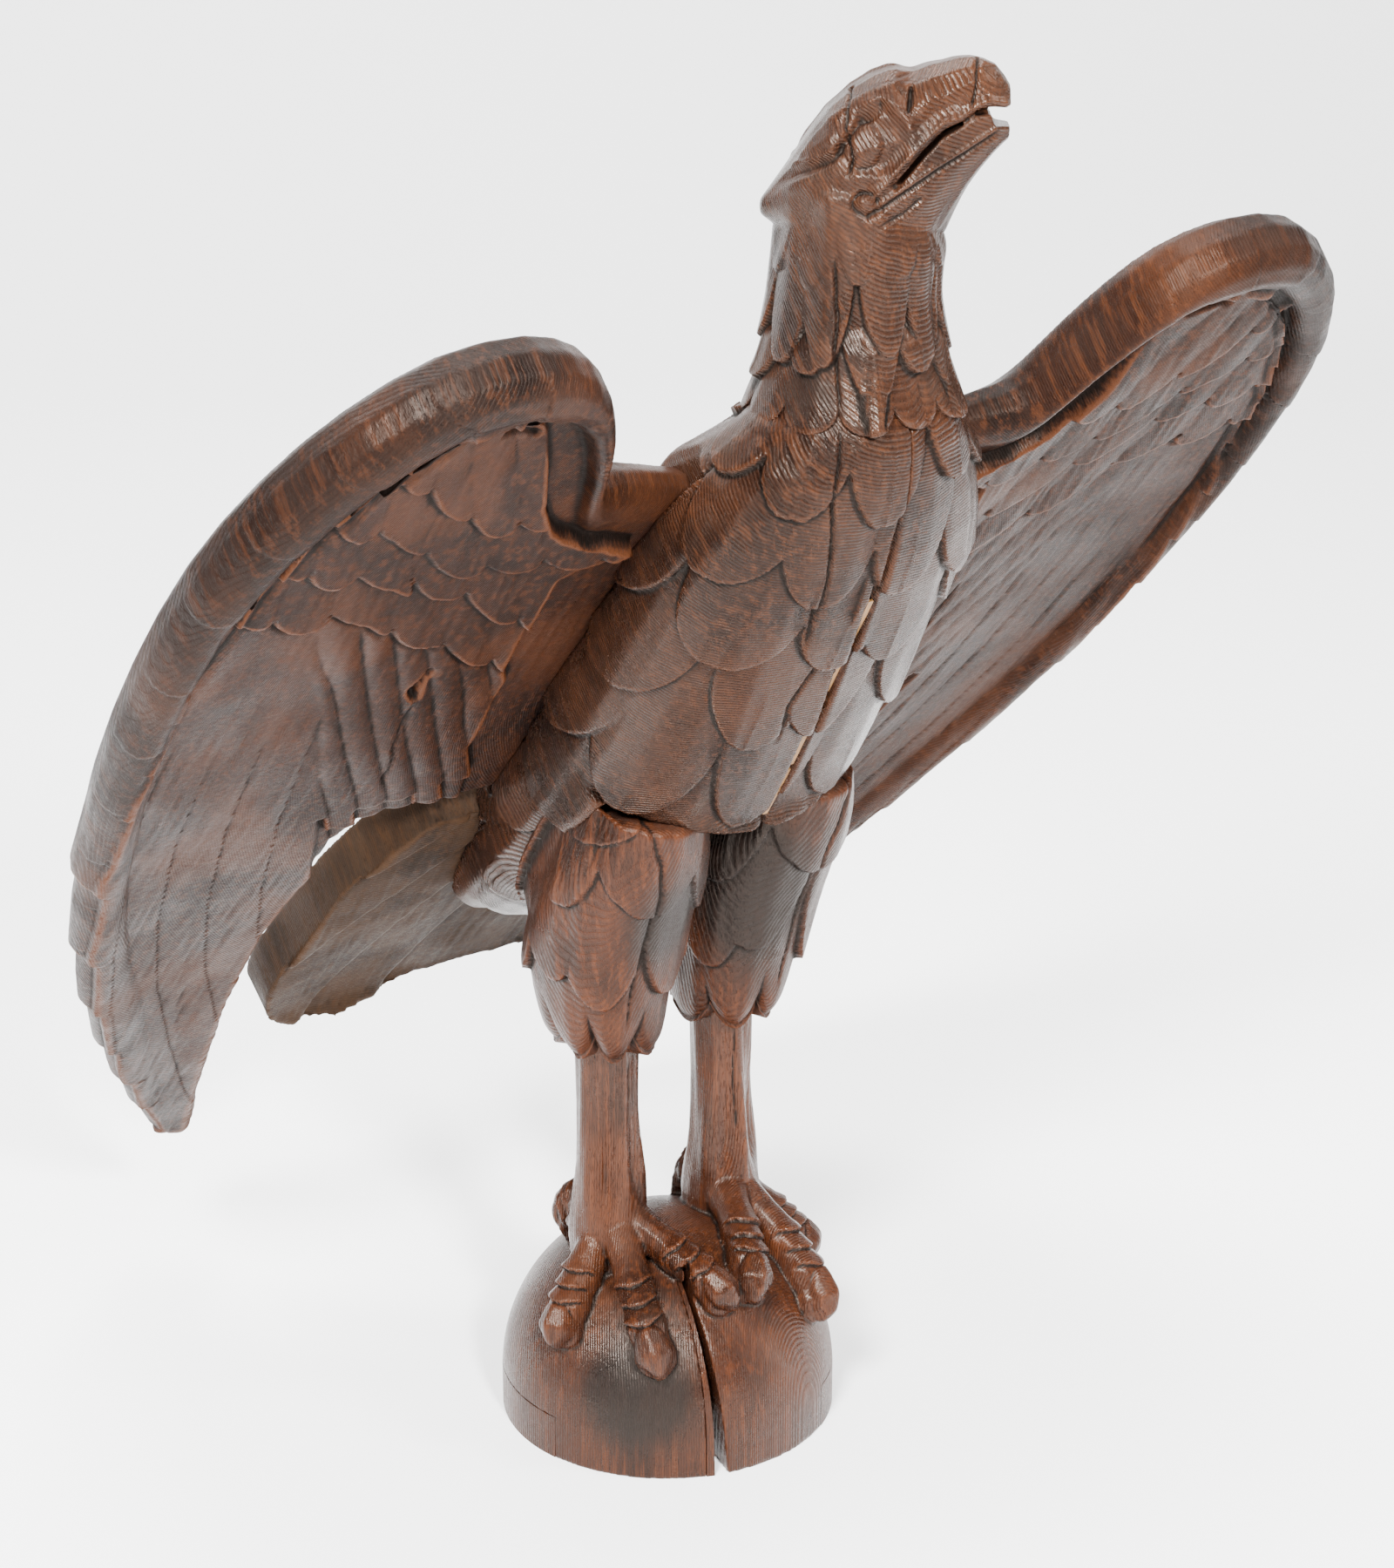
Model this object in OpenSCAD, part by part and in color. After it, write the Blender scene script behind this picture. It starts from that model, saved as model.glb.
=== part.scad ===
// Eagle lectern top: an oak eagle on a half orb, its back planed as a book slope.
// Frame: +Z up, origin at the middle of the orb's flat underside, the eagle looks along -Y.
// "Right" and "left" are the eagle's own: its right is -X.

/* [Orb] */
// Diameter of the half orb
orb_d = 180; // [160:1:220]
// Height of the straight skirt under the half orb
skirt_h = 20; // [10:1:30]
// Diameter of the socket for a stand's spigot
socket_d = 32; // [24:1:40]
// Depth of that socket
socket_depth = 60; // [30:1:70]
// Height of the two cheek pieces let into the skirt
cheek_h = 24; // [16:1:40]
// Width of the drying split at the foot of the orb
split_w = 12; // [6:0.5:14]
// Thickness of the strip let into that split
split_strip = 4.5; // [2:0.5:5]

/* [Legs] */
// Distance of each leg from the middle plane
leg_x = 37; // [34:1:40]
// Thickness of a leg at its middle
leg_d = 32; // [28:1:36]
// Height at which the legs enter the thighs
leg_top = 226; // [220:1:230]
// Diameter of the tenon on a leg
tenon_d = 22; // [16:1:26]
// Length of that tenon
tenon_l = 42; // [25:1:50]

/* [Body] */
// Angle of the book slope from level
slope = 50; // [48:1:52]
// Height at which the neck joins the body
neck_joint_z = 600; // [596:1:604]
// Turn of the head to the eagle's left
head_turn = 54; // [40:1:60]
// Thickness of the filling strips in the breast joint
breast_strip = 3; // [2:0.5:4]

/* [Wings and tail] */
// Half the distance between the wings' inner edges
wing_root_x = 62; // [58:1:64]
// Thickness of a wing board at its root
wing_root_t = 28; // [24:1:30]
// Depth of the rolled leading edge
roll_depth = 40; // [34:1:46]
// Thickness of the tail board
tail_t = 28; // [26:1:30]
// Half width of the tail at its end
tail_half_w = 149; // [140:1:152]

/* [Book rest and fastenings] */
// Length of the book ledge
ledge_l = 200; // [160:5:220]
// Height of the ledge above the slope
ledge_h = 24; // [18:1:30]
// Diameter of the dowels
dowel_d = 12; // [8:1:14]
// Shank diameter of the wood screws
screw_d = 5; // [4:0.5:6]

/* [Hidden] */

oak_brown = "#4a2c1e";
oak_red = "#6b3a22";
oak_pale = "#9a7440";
iron = "#3b3a38";

orb_r = orb_d / 2;
orb_centre = [0, 0, skirt_h];
slope_origin = [0, -215, 707];
ring_steps = 3;
big = 400;
fit = 0.2;

// ---------------------------------------------------------------- helpers

// Smooth curve through p1 and p2
function blend(p0, p1, p2, p3, t) =
    0.5 * (2 * p1 + (p2 - p0) * t + (2 * p0 - 5 * p1 + 4 * p2 - p3) * t * t
    + (3 * p1 - p0 - 3 * p2 + p3) * t * t * t);

// Value at position s along a list of stations, each a list of numbers
function along(stations, s) =
    let (last = len(stations) - 1, i = min(floor(s), last - 1))
    blend(stations[max(i - 1, 0)], stations[i], stations[i + 1], stations[min(i + 2, last)], s - i);

// The stations with ring_steps smooth steps between each pair
function smoothed(stations, steps = ring_steps) =
    let (n = (len(stations) - 1) * steps)
    [for (k = [0 : n]) along(stations, k / steps)];

function rounded(v, e) = sign(v) * pow(abs(v), e);

// Closed oval of n points: half width a, front and back half depths bf and bb, squareness e
function oval(a, bf, bb, n, e = 1) =
    [for (k = [0 : n - 1]) let (t = 360 * k / n)
        [a * rounded(cos(t), e), (sin(t) > 0 ? bb : bf) * rounded(sin(t), e)]];

// Half of such an oval on the +X side, from its front point to its back point
function half_oval(a, bf, bb, n, e = 1) =
    [for (k = [0 : n]) let (t = 180 * k / n - 90)
        [a * rounded(cos(t), e), (t > 0 ? bb : bf) * rounded(sin(t), e)]];

function middle_of(ring) =
    [for (c = [0 : 2]) let (v = [for (p = ring) p[c]]) v * [for (p = ring) 1] / len(ring)];

// Closed skin over rings that all have the same number of points
module skin(rings) {
    n = len(rings[0]);
    m = len(rings);
    sides = [for (j = [0 : m - 2], i = [0 : n - 1]) let (k = (i + 1) % n)
        each [[j * n + i, (j + 1) * n + k, j * n + k], [j * n + i, (j + 1) * n + i, (j + 1) * n + k]]];
    first_cap = [for (i = [0 : n - 1]) [m * n, i, (i + 1) % n]];
    last_cap = [for (i = [0 : n - 1]) [m * n + 1, (m - 1) * n + (i + 1) % n, (m - 1) * n + i]];
    polyhedron(
        points = [each [for (r = rings) each r], middle_of(rings[0]), middle_of(rings[m - 1])],
        faces = [each sides, each first_cap, each last_cap],
        convexity = 8
    );
}

// Puts slope coordinates in place: X across, Y down the slope, Z out of the slope
module on_slope() {
    translate(slope_origin) rotate([-slope, 0, 0]) children();
}

// The same for a single point across, down and out
function slope_point(q, h) =
    [slope_origin[1] + q * cos(slope) + h * sin(slope), slope_origin[2] - q * sin(slope) + h * cos(slope)];

module slope_box(x0, x1, q0, q1, h0, h1) {
    on_slope() translate([x0, q0, h0]) cube([x1 - x0, q1 - q0, h1 - h0]);
}

// Countersunk wood screw along -Z with its head's face at z = 0
module wood_screw(length) {
    rotate_extrude($fn = 24)
        polygon([
            [0, 0], [screw_d, 0], [screw_d / 2, -screw_d / 2], [screw_d / 2, -length + 4], [0, -length]
        ]);
}

// Hole for that screw, with a little room round it
module screw_hole(length) {
    translate([0, 0, -length]) cylinder(d = screw_d + fit, h = length, $fn = 24);
    translate([0, 0, -screw_d / 2])
        cylinder(d1 = screw_d + fit, d2 = 2 * screw_d + fit, h = screw_d / 2 + 0.01, $fn = 24);
}

// ---------------------------------------------------------------- orb, feet and legs

cheek_half_angle = 36;
cheek_angles = [157, -23];
split_turn = -14;
split_offset = -13;
split_inner = 26;
split_top_w = 3;
split_top = orb_r + skirt_h;

// Vertical segment outside a chord of the orb's skirt
module cheek_space(angle) {
    rotate([0, 0, angle]) translate([orb_r * cos(cheek_half_angle), -big / 2, -1])
        cube([big, big, cheek_h + 1]);
}

module orb_shape() {
    rotate_extrude($fn = 96)
        intersection() {
            union() {
                square([orb_r, skirt_h]);
                translate([0, skirt_h]) circle(r = orb_r, $fn = 96);
            }
            square([orb_r, skirt_h + orb_r]);
        }
}

// Wedge that follows the drying split, open to the front
module split_wedge(bottom_w, top_w) {
    rotate([0, 0, split_turn]) translate([split_offset, -split_inner, -1]) rotate([90, 0, 0])
        linear_extrude(big / 2)
            polygon([[0, 0], [bottom_w, 0], [top_w, split_top], [0, split_top]]);
}

// Toe stations: turn from root to tip, distance of its middle from the orb, half width, half height
toe_profile = [
    [0.00, 17, 15, 14], [0.18, 13, 11.5, 13], [0.34, 10, 9.5, 11], [0.48, 8, 10.5, 12], [0.58, 7, 9.5, 11.5],
    [0.70, 6, 11, 12.5], [0.80, 5, 10, 12], [0.90, 4, 11.5, 13], [0.98, 2, 9.5, 11], [1.04, -1, 5, 7]
];

function unit(v) = v / norm(v);

// One toe from the ankle to its claw, bent over the orb and arched up by the rise
module toe(root, tip, rise) {
    side = unit(cross(root - orb_centre, tip - orb_centre));
    skin([for (s = toe_profile) let (
            dir = unit((1 - s[0]) * unit(root - orb_centre) + s[0] * unit(tip - orb_centre)),
            c = orb_centre + (orb_r + s[1] + rise * sin(180 * min(s[0], 1))) * dir
        )
        [for (p = oval(s[2], s[3], s[3], 12)) c + p[0] * side + p[1] * dir]]);
}

// Claw tips of one foot, with X outwards positive, and how far each toe arches up
toe_tips = [[8, -73, 92], [57, -73, 65], [86, -17, 68], [47, 44, 118]];
toe_rise = [0, 0, 0, 14];

module foot() {
    ankle = [leg_x, 0, 130];
    for (k = [0 : len(toe_tips) - 1]) toe(ankle, toe_tips[k], toe_rise[k]);
}

module leg() {
    stations = [
        [95, 20, 21], [115, 21, 23], [134, 19, 20], [150, leg_d / 2 + 1, leg_d / 2 + 1],
        [185, leg_d / 2, leg_d / 2], [leg_top, leg_d / 2 + 1, leg_d / 2 + 1]
    ];
    skin([for (s = smoothed(stations, 2))
        [for (p = oval(s[1], s[2], s[2], 16)) [leg_x + p[0], 2 + p[1], s[0]]]]);
    translate([leg_x, 2, leg_top - 1]) cylinder(d = tenon_d, h = tenon_l + 1, $fn = 40);
}

module orb_and_feet_block() {
    color(oak_red) difference() {
        union() {
            orb_shape();
            for (m = [0, 1]) mirror([m, 0, 0]) {
                foot();
                leg();
            }
        }
        translate([0, 0, -1]) cylinder(d = socket_d, h = socket_depth + 1, $fn = 64);
        for (a = cheek_angles) cheek_space(a);
        split_wedge(split_w, split_top_w);
    }
}

module orb_cheek(angle) {
    color(oak_red) intersection() {
        orb_shape();
        cheek_space(angle);
        translate([0, 0, cheek_h / 2]) cube([big, big, cheek_h], center = true);
    }
}

module orb_cheek_right() {
    orb_cheek(cheek_angles[0]);
}

module orb_cheek_left() {
    orb_cheek(cheek_angles[1]);
}

// Thin strip driven into the split, against its right-hand wall
module orb_split_strip() {
    color(oak_red) intersection() {
        orb_shape();
        split_wedge(split_strip, split_top_w / 2);
    }
}

// ---------------------------------------------------------------- body

thigh_q = 352;
thigh_h = -75;

// Stations of the body from rump to neck: middle down the slope and out of it,
// lean of the section, half width, front depth, back depth
trunk_stations = [
    [552, -24, 40, 46, 14, 40], [535, -30, 40, 62, 24, 44], [495, -40, 40, 74, 38, 60],
    [440, -48, 40, 81, 54, 66], [380, -52, 40, 85, 66, 70], [310, -52, 40, 88, 64, 70],
    [245, -47, 39, 89, 60, 66], [195, -42, 34, 86, 56, 60], [160, -36, 22, 72, 50, 48],
    [137, -31, 8, 54, 43, 44]
];
neck_base = [-150, neck_joint_z, 0, 45, 40, 43];

// A body station as middle Y, middle Z, lean, half width, front depth, back depth
trunk_path = [
    each [for (s = trunk_stations) [each slope_point(s[0], s[1]), s[2], s[3], s[4], s[5]]],
    neck_base
];

function lean_point(s, p) = [p[0], s[0] + p[1] * cos(s[2]), s[1] + p[1] * sin(s[2])];

module half_trunk_blank() {
    skin([for (s = smoothed(trunk_path, 2))
        [for (p = half_oval(s[3], s[4], s[5], 13, 0.9)) lean_point(s, p)]]);
}

breast_curve = [[-189, 585], [-183, 548], [-170, 505], [-148, 468], [-124, 428], [-104, 395], [-84, 364]];
strip_depth = 16;
strip_ends = [[2.2, 3.6], [3.7, 4.9], [5.0, 5.9]];

// Band of the middle plane just inside the breast line, between two places along it
module breast_band(from, to, depth, proud, thick) {
    steps = 6;
    line = [for (k = [0 : steps]) along(breast_curve, from + (to - from) * k / steps)];
    out = unit([-0.85, -0.5]);
    rotate([90, 0, 90]) translate([0, 0, -thick / 2]) linear_extrude(thick)
        polygon([each [for (p = line) p + proud * out],
            each [for (k = [steps : -1 : 0]) line[k] - depth * out]]);
}

module trunk_dowel_holes(d, half_l) {
    for (p = [[175, -45], [250, -70], [330, -50], [430, -45], [482, -55]])
        let (c = slope_point(p[0], p[1]))
            translate([-half_l, c[0], c[1]]) rotate([0, 90, 0]) cylinder(d = d, h = 2 * half_l, $fn = 32);
}

neck_dowel_d = 20;
neck_dowel_l = 90;

module neck_dowel_space(d, l) {
    translate([0, -150, neck_joint_z - l / 2]) cylinder(d = d, h = l, $fn = 40);
}

module trunk_half() {
    color(oak_brown) difference() {
        half_trunk_blank();
        // back planed as the book slope
        slope_box(-big, big, 168, 700, 0, big);
        // seats of the wing and the tail
        slope_box(wing_root_x, big, 168, 440, -wing_root_t, big);
        slope_box(-big, big, tail_top_q, 700, -tail_t, big);
        // flat seat of the thigh
        slope_box(-big, big, thigh_q, 700, -big, thigh_h);
        trunk_dowel_holes(dowel_d + fit, 36);
        neck_dowel_space(neck_dowel_d + fit, neck_dowel_l + 4);
        thigh_dowel_spaces(dowel_d + fit, 24);
        wing_dowel_spaces(dowel_d + fit, 20);
        wing_screw_holes();
        tail_dowel_spaces(dowel_d + fit, 12);
        tail_screw_holes();
        breast_band(2.2, 5.9, strip_depth, 20, breast_strip);
    }
}

module trunk_left_half() {
    trunk_half();
}

module trunk_right_half() {
    mirror([1, 0, 0]) trunk_half();
}

module trunk_dowels() {
    color(oak_pale) trunk_dowel_holes(dowel_d, 34);
}

// Three pale strips glued into the opened joint down the breast
module breast_strips() {
    color(oak_pale) for (e = strip_ends) breast_band(e[0], e[1], strip_depth, -0.5, breast_strip);
}

// ---------------------------------------------------------------- thighs

// Height, middle across, middle front to back, half width, half depth
thigh_stations = [
    [leg_top, 37, 3, 25, 29], [236, 39, 2, 31, 35], [262, 41, 1, 35, 41], [300, 43, -3, 38, 47],
    [345, 45, -12, 40, 58], [385, 46, -24, 40, 62], [420, 46, -40, 38, 60]
];

module thigh_dowel_spaces(d, reach) {
    for (q = [385, 440])
        on_slope() translate([44, q, thigh_h - reach]) cylinder(d = d, h = 2 * reach, $fn = 32);
}

module thigh() {
    color(oak_brown) difference() {
        intersection() {
            skin([for (s = smoothed(thigh_stations))
                [for (p = oval(s[3], s[4], s[4], 20, 0.9)) [s[1] + p[0], s[2] + p[1], s[0]]]]);
            slope_box(3, big, thigh_q, 700, -big, thigh_h);
        }
        translate([leg_x, 2, leg_top - 1]) cylinder(d = tenon_d + fit, h = tenon_l + 3, $fn = 40);
        thigh_dowel_spaces(dowel_d + fit, 24);
    }
}

module thigh_left() {
    thigh();
}

module thigh_right() {
    mirror([1, 0, 0]) thigh();
}

module thigh_dowels() {
    color(oak_pale) for (m = [0, 1]) mirror([m, 0, 0]) thigh_dowel_spaces(dowel_d, 22);
}

// ---------------------------------------------------------------- head and neck

neck_stations = [
    [neck_joint_z, 45, 40, 43], [618, 41, 38, 40], [640, 37.5, 36.5, 38], [665, 36, 36, 37], [692, 33, 33, 34]
];

// Head from nape to beak: distance forward, lowest and highest points, half width
head_stations = [
    [-43, 678, 684, 4], [-30, 668, 703, 20], [-13, 656, 727, 30], [6, 650, 741, 33], [22, 654, 745, 30],
    [38, 672, 745, 22], [50, 691, 747, 16], [61, 705, 745, 12], [68, 712, 736, 8]
];
// Open beak in the head's own profile: distance forward and height
mouth = [
    [7, 687], [20, 702], [29, 712], [37, 719], [46, 722.5], [53, 727], [60, 728], [80, 726],
    [80, 717], [61, 719], [59, 724.5], [52, 724], [45, 719.5], [37, 715.5], [29, 708], [20, 698]
];

// Turns the head's profile to where the eagle looks
module head_pose() {
    translate([0, -150, 0]) rotate([0, 0, head_turn - 90]) children();
}

module head() {
    head_pose() difference() {
        skin([for (s = smoothed(head_stations, 2)) let (mid = (s[1] + s[2]) / 2, half = (s[2] - s[1]) / 2)
            [for (p = oval(s[3], half, half, 18, 0.9)) [s[0], p[0], mid + p[1]]]]);
        rotate([90, 0, 0]) translate([0, 0, -big / 2]) linear_extrude(big) polygon(mouth);
    }
}

module head_and_neck() {
    color(oak_brown) difference() {
        union() {
            skin([for (s = smoothed(neck_stations, 2))
                [for (p = oval(s[1], s[2], s[3], 24, 0.9)) [p[0], -150 + p[1], s[0]]]]);
            head();
        }
        neck_dowel_space(neck_dowel_d + fit, neck_dowel_l + 4);
    }
}

module neck_dowel() {
    color(oak_pale) neck_dowel_space(neck_dowel_d, neck_dowel_l);
}

// ---------------------------------------------------------------- wings

// Leading edge across and down, trailing edge across and down, roll depth, plate thickness,
// hollow of the underside
wing_stations = [
    [62, 186, 62, 428, 28, 28, 0], [78, 180, 78, 428, 28, 28, 0], [94, 174, 94, 428, 28, 28, 0],
    [110, 168, 110, 428, 31, 28, 1], [124, 162, 124, 428, 34, 27, 2], [134, 146, 133, 428, 36, 26, 3],
    [143, 117, 140, 428, 38, 26, 3], [155, 89, 146, 429, 40, 26, 3], [172, 67, 151, 430, 41, 26, 3],
    [202, 54, 155, 431, 41, 26, 3], [241, 59, 159, 433, 40, 26, 3], [277, 88, 163, 437, 40, 26, 3],
    [304, 130, 166, 444, 39, 26, 3], [322, 186, 169, 455, 37, 26, 3], [328, 260, 171, 470, 36, 25, 3],
    [324, 342, 173, 492, 34, 24, 3], [311, 428, 175, 522, 31, 22, 3], [289, 512, 176, 562, 28, 20, 3],
    [260, 592, 172, 620, 25, 19, 3], [222, 674, 164, 684, 22, 18, 2], [188, 738, 152, 742, 18, 15, 1],
    [162, 786, 140, 796, 12, 12, 0]
];
roll_w = 34;

// Cross-section of the wing as distance in from the leading edge and depth
function wing_section(w, roll, plate, hollow) =
    let (r = min(roll_w, 0.4 * w))
    [
        [w, 0], [0.75 * w, 0], [0.5 * w, 0], [r, 0], [0.45 * r, -0.04 * roll], [0.15 * r, -0.2 * roll],
        [0, -0.5 * roll], [0.06 * r, -0.78 * roll], [0.25 * r, -0.96 * roll], [0.5 * r, -roll],
        [0.8 * r, -max(plate, 0.9 * roll)], [r, -plate], [0.5 * (r + w), hollow - plate],
        [0.85 * w, -plate], [w, -plate]
    ];

module wing() {
    color(oak_brown) difference() {
        on_slope() skin([for (s = smoothed(wing_stations, 2)) let (
                lead = [s[0], s[1]],
                run = [s[2], s[3]] - lead
            )
            [for (p = wing_section(norm(run), s[4] * roll_depth / 40, s[5], s[6]))
                let (q = lead + p[0] * unit(run))
                [q[0], q[1], p[1]]]]);
        wing_dowel_spaces(dowel_d + fit, 18);
        wing_screw_holes();
    }
}

module wing_left() {
    wing();
}

module wing_right() {
    mirror([1, 0, 0]) wing();
}

// Dowels that rise from the body's seat into the root of the wing board
module wing_dowel_spaces(d, reach) {
    for (q = [235, 385])
        on_slope() translate([72, q, -wing_root_t - reach]) cylinder(d = d, h = 2 * reach, $fn = 32);
}

wing_screw_l = 48;

module wing_screw_holes() {
    for (q = [205, 310, 410]) on_slope() translate([72, q, 0]) screw_hole(wing_screw_l + 1);
}

module wing_screw_set() {
    color(iron) for (q = [205, 310, 410]) on_slope() translate([72, q, 0]) wood_screw(wing_screw_l);
}

module wing_dowels_left() {
    color(oak_pale) wing_dowel_spaces(dowel_d, 17);
}

module wing_dowels_right() {
    mirror([1, 0, 0]) wing_dowels_left();
}

module wing_screws_left() {
    wing_screw_set();
}

module wing_screws_right() {
    mirror([1, 0, 0]) wing_screw_set();
}

// ---------------------------------------------------------------- tail

tail_top_q = 455;
// Distance down the slope, half width, hollow of the underside
tail_stations = [
    [tail_top_q, 0.7 * tail_half_w, 0], [480, 0.83 * tail_half_w, 0], [515, 0.93 * tail_half_w, 2],
    [555, 0.97 * tail_half_w, 7], [598, tail_half_w, 12], [622, 0.99 * tail_half_w, 14],
    [640, 0.94 * tail_half_w, 15], [655, 0.82 * tail_half_w, 16], [664, 0.6 * tail_half_w, 16]
];

module tail() {
    color(oak_brown) difference() {
        on_slope() skin([for (s = smoothed(tail_stations, 2))
            [
                each [for (k = [-3 : 3]) [k / 3 * s[1], s[0], 0]],
                each [for (k = [3 : -1 : -3]) [k / 3 * s[1], s[0], max(s[2], 0) * cos(30 * k) - tail_t]]
            ]]);
        tail_dowel_spaces(dowel_d + fit, 12);
        tail_screw_holes();
        ledge_screw_holes();
    }
}

module tail_dowel_spaces(d, reach) {
    for (m = [0, 1]) mirror([m, 0, 0])
        on_slope() translate([34, 480, -tail_t - reach]) cylinder(d = d, h = 2 * reach, $fn = 32);
}

tail_screw_l = 44;

module tail_screw_holes() {
    for (x = [-18, 18]) on_slope() translate([x, 505, 0]) screw_hole(tail_screw_l + 1);
}

module tail_dowels() {
    color(oak_pale) tail_dowel_spaces(dowel_d, 11);
}

module tail_screws() {
    color(iron) for (x = [-18, 18]) on_slope() translate([x, 505, 0]) wood_screw(tail_screw_l);
}

// ---------------------------------------------------------------- book ledge

ledge_q = 590;
ledge_t = 16;
ledge_screw_l = 30;

module book_ledge() {
    color(oak_brown) difference() {
        on_slope() translate([-ledge_l / 2, ledge_q, 0]) rotate([90, 0, 90]) linear_extrude(ledge_l)
            polygon([[0, 0], [ledge_t, 0], [ledge_t, 0.6 * ledge_h], [0.75 * ledge_t, 0.9 * ledge_h],
                [0.4 * ledge_t, ledge_h], [0, ledge_h]]);
        ledge_screw_holes();
    }
}

// Screws run down through the ledge into the tail
module ledge_screw_holes() {
    for (x = [-0.35, 0.35]) on_slope()
        translate([x * ledge_l, ledge_q + ledge_t / 2 - 1, 0.9 * ledge_h - 4]) {
            screw_hole(ledge_screw_l + 1);
            cylinder(d = 2 * screw_d + fit, h = ledge_h, $fn = 24);
        }
}

module ledge_screws() {
    color(iron) for (x = [-0.35, 0.35]) on_slope()
        translate([x * ledge_l, ledge_q + ledge_t / 2 - 1, 0.9 * ledge_h - 4]) wood_screw(ledge_screw_l);
}

// ---------------------------------------------------------------- nodes

orb_and_feet_block();
orb_cheek_right();
orb_cheek_left();
orb_split_strip();
thigh_right();
thigh_left();
thigh_dowels();
trunk_right_half();
trunk_left_half();
trunk_dowels();
breast_strips();
head_and_neck();
neck_dowel();
wing_right();
wing_left();
wing_dowels_right();
wing_dowels_left();
wing_screws_right();
wing_screws_left();
tail();
tail_dowels();
tail_screws();
book_ledge();
ledge_screws();
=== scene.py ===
"""Looks of the eagle lectern top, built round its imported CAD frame.

The carving works in millimetres and degrees. Lights, camera and materials are in metres.
"""
import math

import bpy
import numpy as np
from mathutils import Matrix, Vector


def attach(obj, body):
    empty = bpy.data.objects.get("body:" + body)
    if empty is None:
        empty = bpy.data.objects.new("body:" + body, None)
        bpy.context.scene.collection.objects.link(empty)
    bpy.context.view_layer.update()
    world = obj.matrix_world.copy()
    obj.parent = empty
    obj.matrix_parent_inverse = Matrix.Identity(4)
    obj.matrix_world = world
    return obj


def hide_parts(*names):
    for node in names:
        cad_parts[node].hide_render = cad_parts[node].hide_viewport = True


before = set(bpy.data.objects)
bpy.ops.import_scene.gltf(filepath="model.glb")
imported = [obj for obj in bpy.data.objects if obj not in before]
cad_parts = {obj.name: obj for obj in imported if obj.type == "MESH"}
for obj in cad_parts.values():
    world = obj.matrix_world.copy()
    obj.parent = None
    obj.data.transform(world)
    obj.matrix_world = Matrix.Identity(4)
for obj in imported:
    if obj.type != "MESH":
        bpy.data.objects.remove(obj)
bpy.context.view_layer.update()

MM = 0.001
SLOPE = math.radians(50)
SLOPE_ORIGIN = (-215.0, 707.0)          # Y and Z where the book slope's coordinates start
ORB_CENTRE = np.array([0.0, 0.0, 20.0])
HEAD_AXIS_Y = -150.0
HEAD_TURN = math.radians(54)            # the beak's direction, from straight ahead towards the bird's left
JOINT_FACE = 0.93                       # cosine beyond which a surface counts as a glued joint's flat face
SLOPE_FACE = 0.9                        # the same for the flat book side
ANY_ROW = (-1e9, 1e9)


# ---------------------------------------------------------------- numbers and noise

def clamp01(v):
    return np.clip(v, 0.0, 1.0)


def step(lo, hi, v):
    """Smooth rise from 0 at lo to 1 at hi."""
    t = clamp01((v - lo) / (hi - lo))
    return t * t * (3 - 2 * t)


def bell(v, centre, width):
    return np.exp(-((v - centre) / width) ** 2)


def hash01(*ints):
    """Repeatable random value between 0 and 1 for whole-number arrays."""
    total = np.zeros(np.broadcast(*ints).shape)
    for k, v in enumerate(ints):
        total = total + np.asarray(v, float) * (12.9898, 78.233, 37.719, 93.989)[k]
    return np.abs(np.sin(total + 1.7) * 43758.5453) % 1.0


def noise(p, scale, seed=0):
    """Smooth value noise between -1 and 1 over points p, with cells of the given size."""
    q = np.asarray(p, float) / scale + 17.3
    cell = np.floor(q)
    f = q - cell
    f = f * f * (3 - 2 * f)
    out = 0.0
    for k in range(8):
        corner = np.array([k & 1, (k >> 1) & 1, (k >> 2) & 1], float)
        w = np.prod(np.where(corner > 0, f, 1 - f), axis=-1)
        c = cell + corner
        out = out + w * hash01(c[..., 0], c[..., 1], c[..., 2], np.full(c.shape[:-1], seed))
    return out * 2 - 1


def segment_distance(p, a, b):
    """Distance of 2-D points p from the segment a-b, and how far along it they lie."""
    a, b = np.asarray(a, float), np.asarray(b, float)
    d = b - a
    t = clamp01(((p - a) @ d) / (d @ d))
    return np.linalg.norm(p - (a + t[:, None] * d), axis=1), t


def line_distance(p, points):
    """Distance of 2-D points p from a polyline, and the distance run along it."""
    best = np.full(len(p), 1e9)
    along = np.zeros(len(p))
    run = 0.0
    for a, b in zip(points[:-1], points[1:]):
        d, t = segment_distance(p, a, b)
        length = math.dist(a, b)
        nearer = d < best
        best = np.where(nearer, d, best)
        along = np.where(nearer, run + t * length, along)
        run += length
    return best, along


def groove(p, points, width, depth, wander=0.6, seed=3):
    """Depth of a crack or gouge line along a polyline, in 2-D coordinates."""
    q = np.column_stack([p, np.zeros(len(p))])
    shake = np.column_stack([noise(q, 9.0, seed), noise(q, 9.0, seed + 1)])
    d, run = line_distance(p + wander * shake, points)
    total = sum(math.dist(a, b) for a, b in zip(points[:-1], points[1:]))
    fade = step(0, 0.15 * total, run) * step(0, 0.15 * total, total - run)
    return -depth * fade * np.exp(-(d / width) ** 2)


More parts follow.
